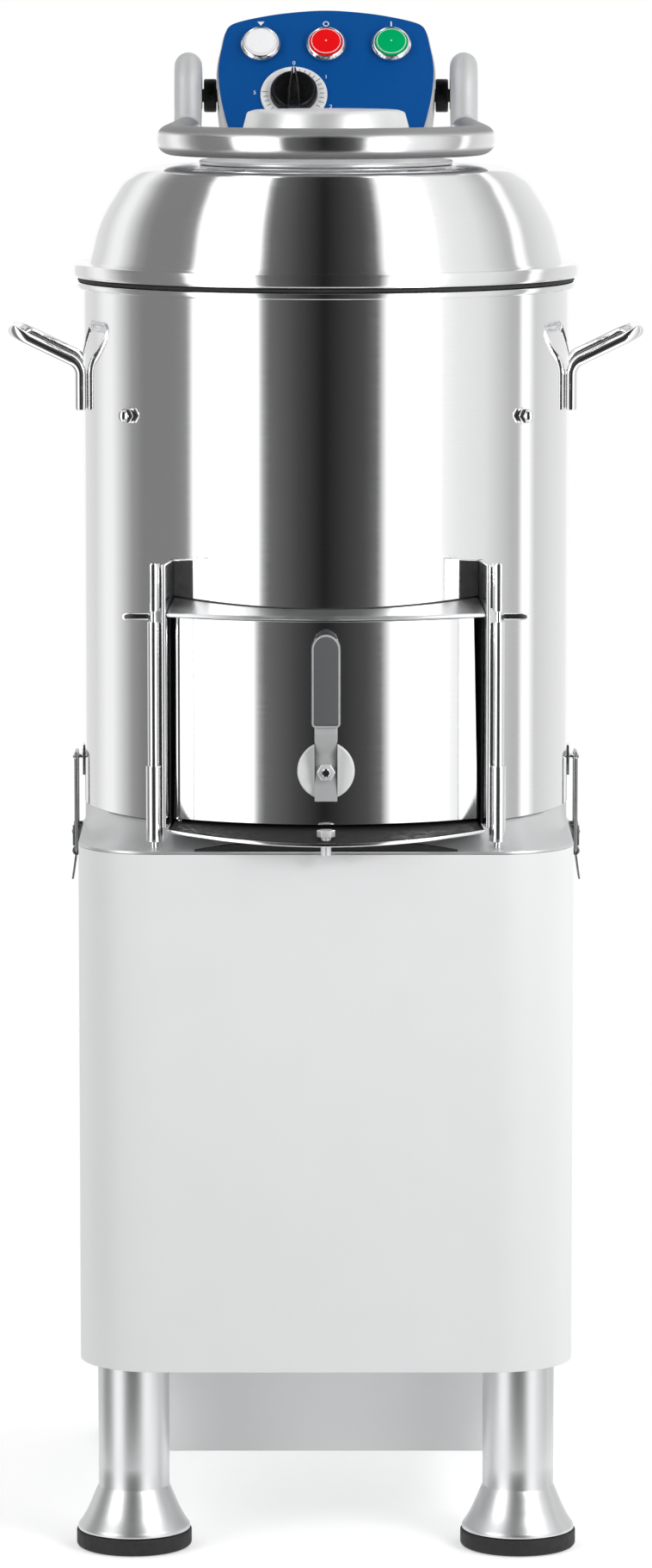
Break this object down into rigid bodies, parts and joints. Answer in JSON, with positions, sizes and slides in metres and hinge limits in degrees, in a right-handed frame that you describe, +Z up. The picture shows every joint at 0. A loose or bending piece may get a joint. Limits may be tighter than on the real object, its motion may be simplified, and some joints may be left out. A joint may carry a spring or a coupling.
{
  "type": "potato peeler machine",
  "caption": "Floor-standing potato peeler with a steel drum, abrasive disc, discharge door with lever, hinged domed lid and tilted control head on a column.",
  "frame": {"origin": "middle of the machine's bounding box at floor level", "axes": "+Z up, -Y towards the discharge door, +X to the right as seen from the front"},
  "size_m": [0.4556, 0.512, 1.0886],
  "materials": {
    "polished_steel": "polished",
    "satin_steel": "satin",
    "sheet_steel": "matt",
    "zinc": "satin",
    "cast_metal": "rough",
    "rubber": "matt",
    "black_plastic": "satin",
    "blue_plate": "satin",
    "grey_housing": "satin",
    "grey_grip": "matt",
    "abrasive": "gritty",
    "motor_paint": "satin",
    "dial_ring": "satin",
    "white_lens": "gloss",
    "red_lens": "gloss",
    "green_lens": "gloss"
  },
  "bodies": {
    "frame": {"abrasive_liner": "abrasive", "bearing_housing": "cast_metal", "button_body_green": "zinc", "button_body_red": "zinc", "button_body_white": "zinc", "cabinet_wrap": "sheet_steel", "cable_gland": "black_plastic", "chassis_plate": "satin_steel", "chute_floor": "polished_steel", "chute_hood": "polished_steel", "chute_plate_left": "polished_steel", "chute_plate_right": "polished_steel", "control_column": "satin_steel", "control_housing": "grey_housing", "deck": "satin_steel", "drum_shell": "polished_steel", "face_plate": "blue_plate", "foot_front_left": "rubber", "foot_front_right": "rubber", "foot_rear_left": "rubber", "foot_rear_right": "rubber", "hinge_shaft": "black_plastic", "latch_base_left": "zinc", "latch_base_right": "zinc", "leg_front_left": "satin_steel", "leg_front_right": "satin_steel", "leg_rear_left": "satin_steel", "leg_rear_right": "satin_steel", "motor": "motor_paint", "motor_bracket": "satin_steel", "motor_guard": "sheet_steel", "rear_panel": "sheet_steel", "side_handle_left": "polished_steel", "side_handle_right": "polished_steel", "stop_bolt": "zinc", "timer_body": "dial_ring", "v_belt": "rubber", "waste_outlet": "satin_steel", "water_inlet": "zinc"},
    "lid": {"lid_dome": "polished_steel", "lid_seal": "rubber", "lid_hub": "polished_steel", "lid_handle": "polished_steel"},
    "door": {"door_panel": "polished_steel"},
    "lever": {"door_lever": "zinc", "lever_grip": "grey_grip", "lever_spindle": "polished_steel"},
    "bolt_left": {"slide_bolt_left": "polished_steel"},
    "bolt_right": {"slide_bolt_right": "polished_steel"},
    "toggle_left": {"latch_lever_left": "zinc"},
    "toggle_right": {"latch_lever_right": "zinc"},
    "loop_left": {"latch_bail_left": "polished_steel"},
    "loop_right": {"latch_bail_right": "polished_steel"},
    "white_button": {"button_white": "white_lens"},
    "red_button": {"button_red": "red_lens"},
    "green_button": {"button_green": "green_lens"},
    "knob": {"timer_knob": "black_plastic"},
    "disc": {"peeling_disc": "abrasive", "drive_shaft": "cast_metal"},
    "motor_rotor": {"motor_pulley": "cast_metal"}
  },
  "joints": [
    {"name": "lid_swing", "type": "hinge", "parent": "frame", "child": "lid", "pos_m": [0, 0.18884, 1.02476], "axis": [-1, 0, 0], "range_deg": [0, 118]},
    {"name": "door_swing", "type": "hinge", "parent": "frame", "child": "door", "pos_m": [-0.1026, -0.1968, 0.6], "axis": [0, 0, -1], "range_deg": [0, 70]},
    {"name": "lever_turn", "type": "hinge", "parent": "door", "child": "lever", "pos_m": [0, -0.234, 0.566], "axis": [0, 1, 0], "range_deg": [0, 90]},
    {"name": "timer_turn", "type": "hinge", "parent": "frame", "child": "knob", "pos_m": [-0.024, 0.156, 1.0255], "axis": [0, 0.809, -0.5878], "range_deg": [0, 275]},
    {"name": "disc_spin", "type": "hinge", "parent": "frame", "child": "disc", "pos_m": [0, -0.044, 0.5], "axis": [0, 0, 1], "continuous": true},
    {"name": "motor_spin", "type": "hinge", "parent": "frame", "child": "motor_rotor", "pos_m": [0, 0.131, 0.42], "axis": [0, 0, 1], "continuous": true},
    {"name": "bolt_left_lift", "type": "slide", "parent": "frame", "child": "bolt_left", "axis": [0, 0, 1], "range_m": [0, 0.024]},
    {"name": "toggle_left_turn", "type": "hinge", "parent": "frame", "child": "toggle_left", "pos_m": [-0.181, -0.044, 0.499], "axis": [0, 1, 0], "range_deg": [0, 150]},
    {"name": "loop_left_turn", "type": "hinge", "parent": "toggle_left", "child": "loop_left", "pos_m": [-0.181, -0.044, 0.485], "axis": [0, 1, 0], "range_deg": [-150, 0]},
    {"name": "bolt_right_lift", "type": "slide", "parent": "frame", "child": "bolt_right", "axis": [0, 0, 1], "range_m": [0, 0.024]},
    {"name": "toggle_right_turn", "type": "hinge", "parent": "frame", "child": "toggle_right", "pos_m": [0.181, -0.044, 0.499], "axis": [0, -1, 0], "range_deg": [0, 150]},
    {"name": "loop_right_turn", "type": "hinge", "parent": "toggle_right", "child": "loop_right", "pos_m": [0.181, -0.044, 0.485], "axis": [0, -1, 0], "range_deg": [-150, 0]},
    {"name": "white_press", "type": "slide", "parent": "frame", "child": "white_button", "axis": [0, 0.809, -0.5878], "range_m": [0, 0.003], "stiffness_N_per_m": 400, "springref_m": -0.001},
    {"name": "red_press", "type": "slide", "parent": "frame", "child": "red_button", "axis": [0, 0.809, -0.5878], "range_m": [0, 0.003], "stiffness_N_per_m": 400, "springref_m": -0.001},
    {"name": "green_press", "type": "slide", "parent": "frame", "child": "green_button", "axis": [0, 0.809, -0.5878], "range_m": [0, 0.003], "stiffness_N_per_m": 400, "springref_m": -0.001}
  ],
  "couplings": [
    {"joint": "motor_spin", "follows": "disc_spin", "ratio": 2.77},
    {"joint": "loop_left_turn", "follows": "toggle_left_turn", "ratio": -1},
    {"joint": "loop_right_turn", "follows": "toggle_right_turn", "ratio": -1}
  ]
}
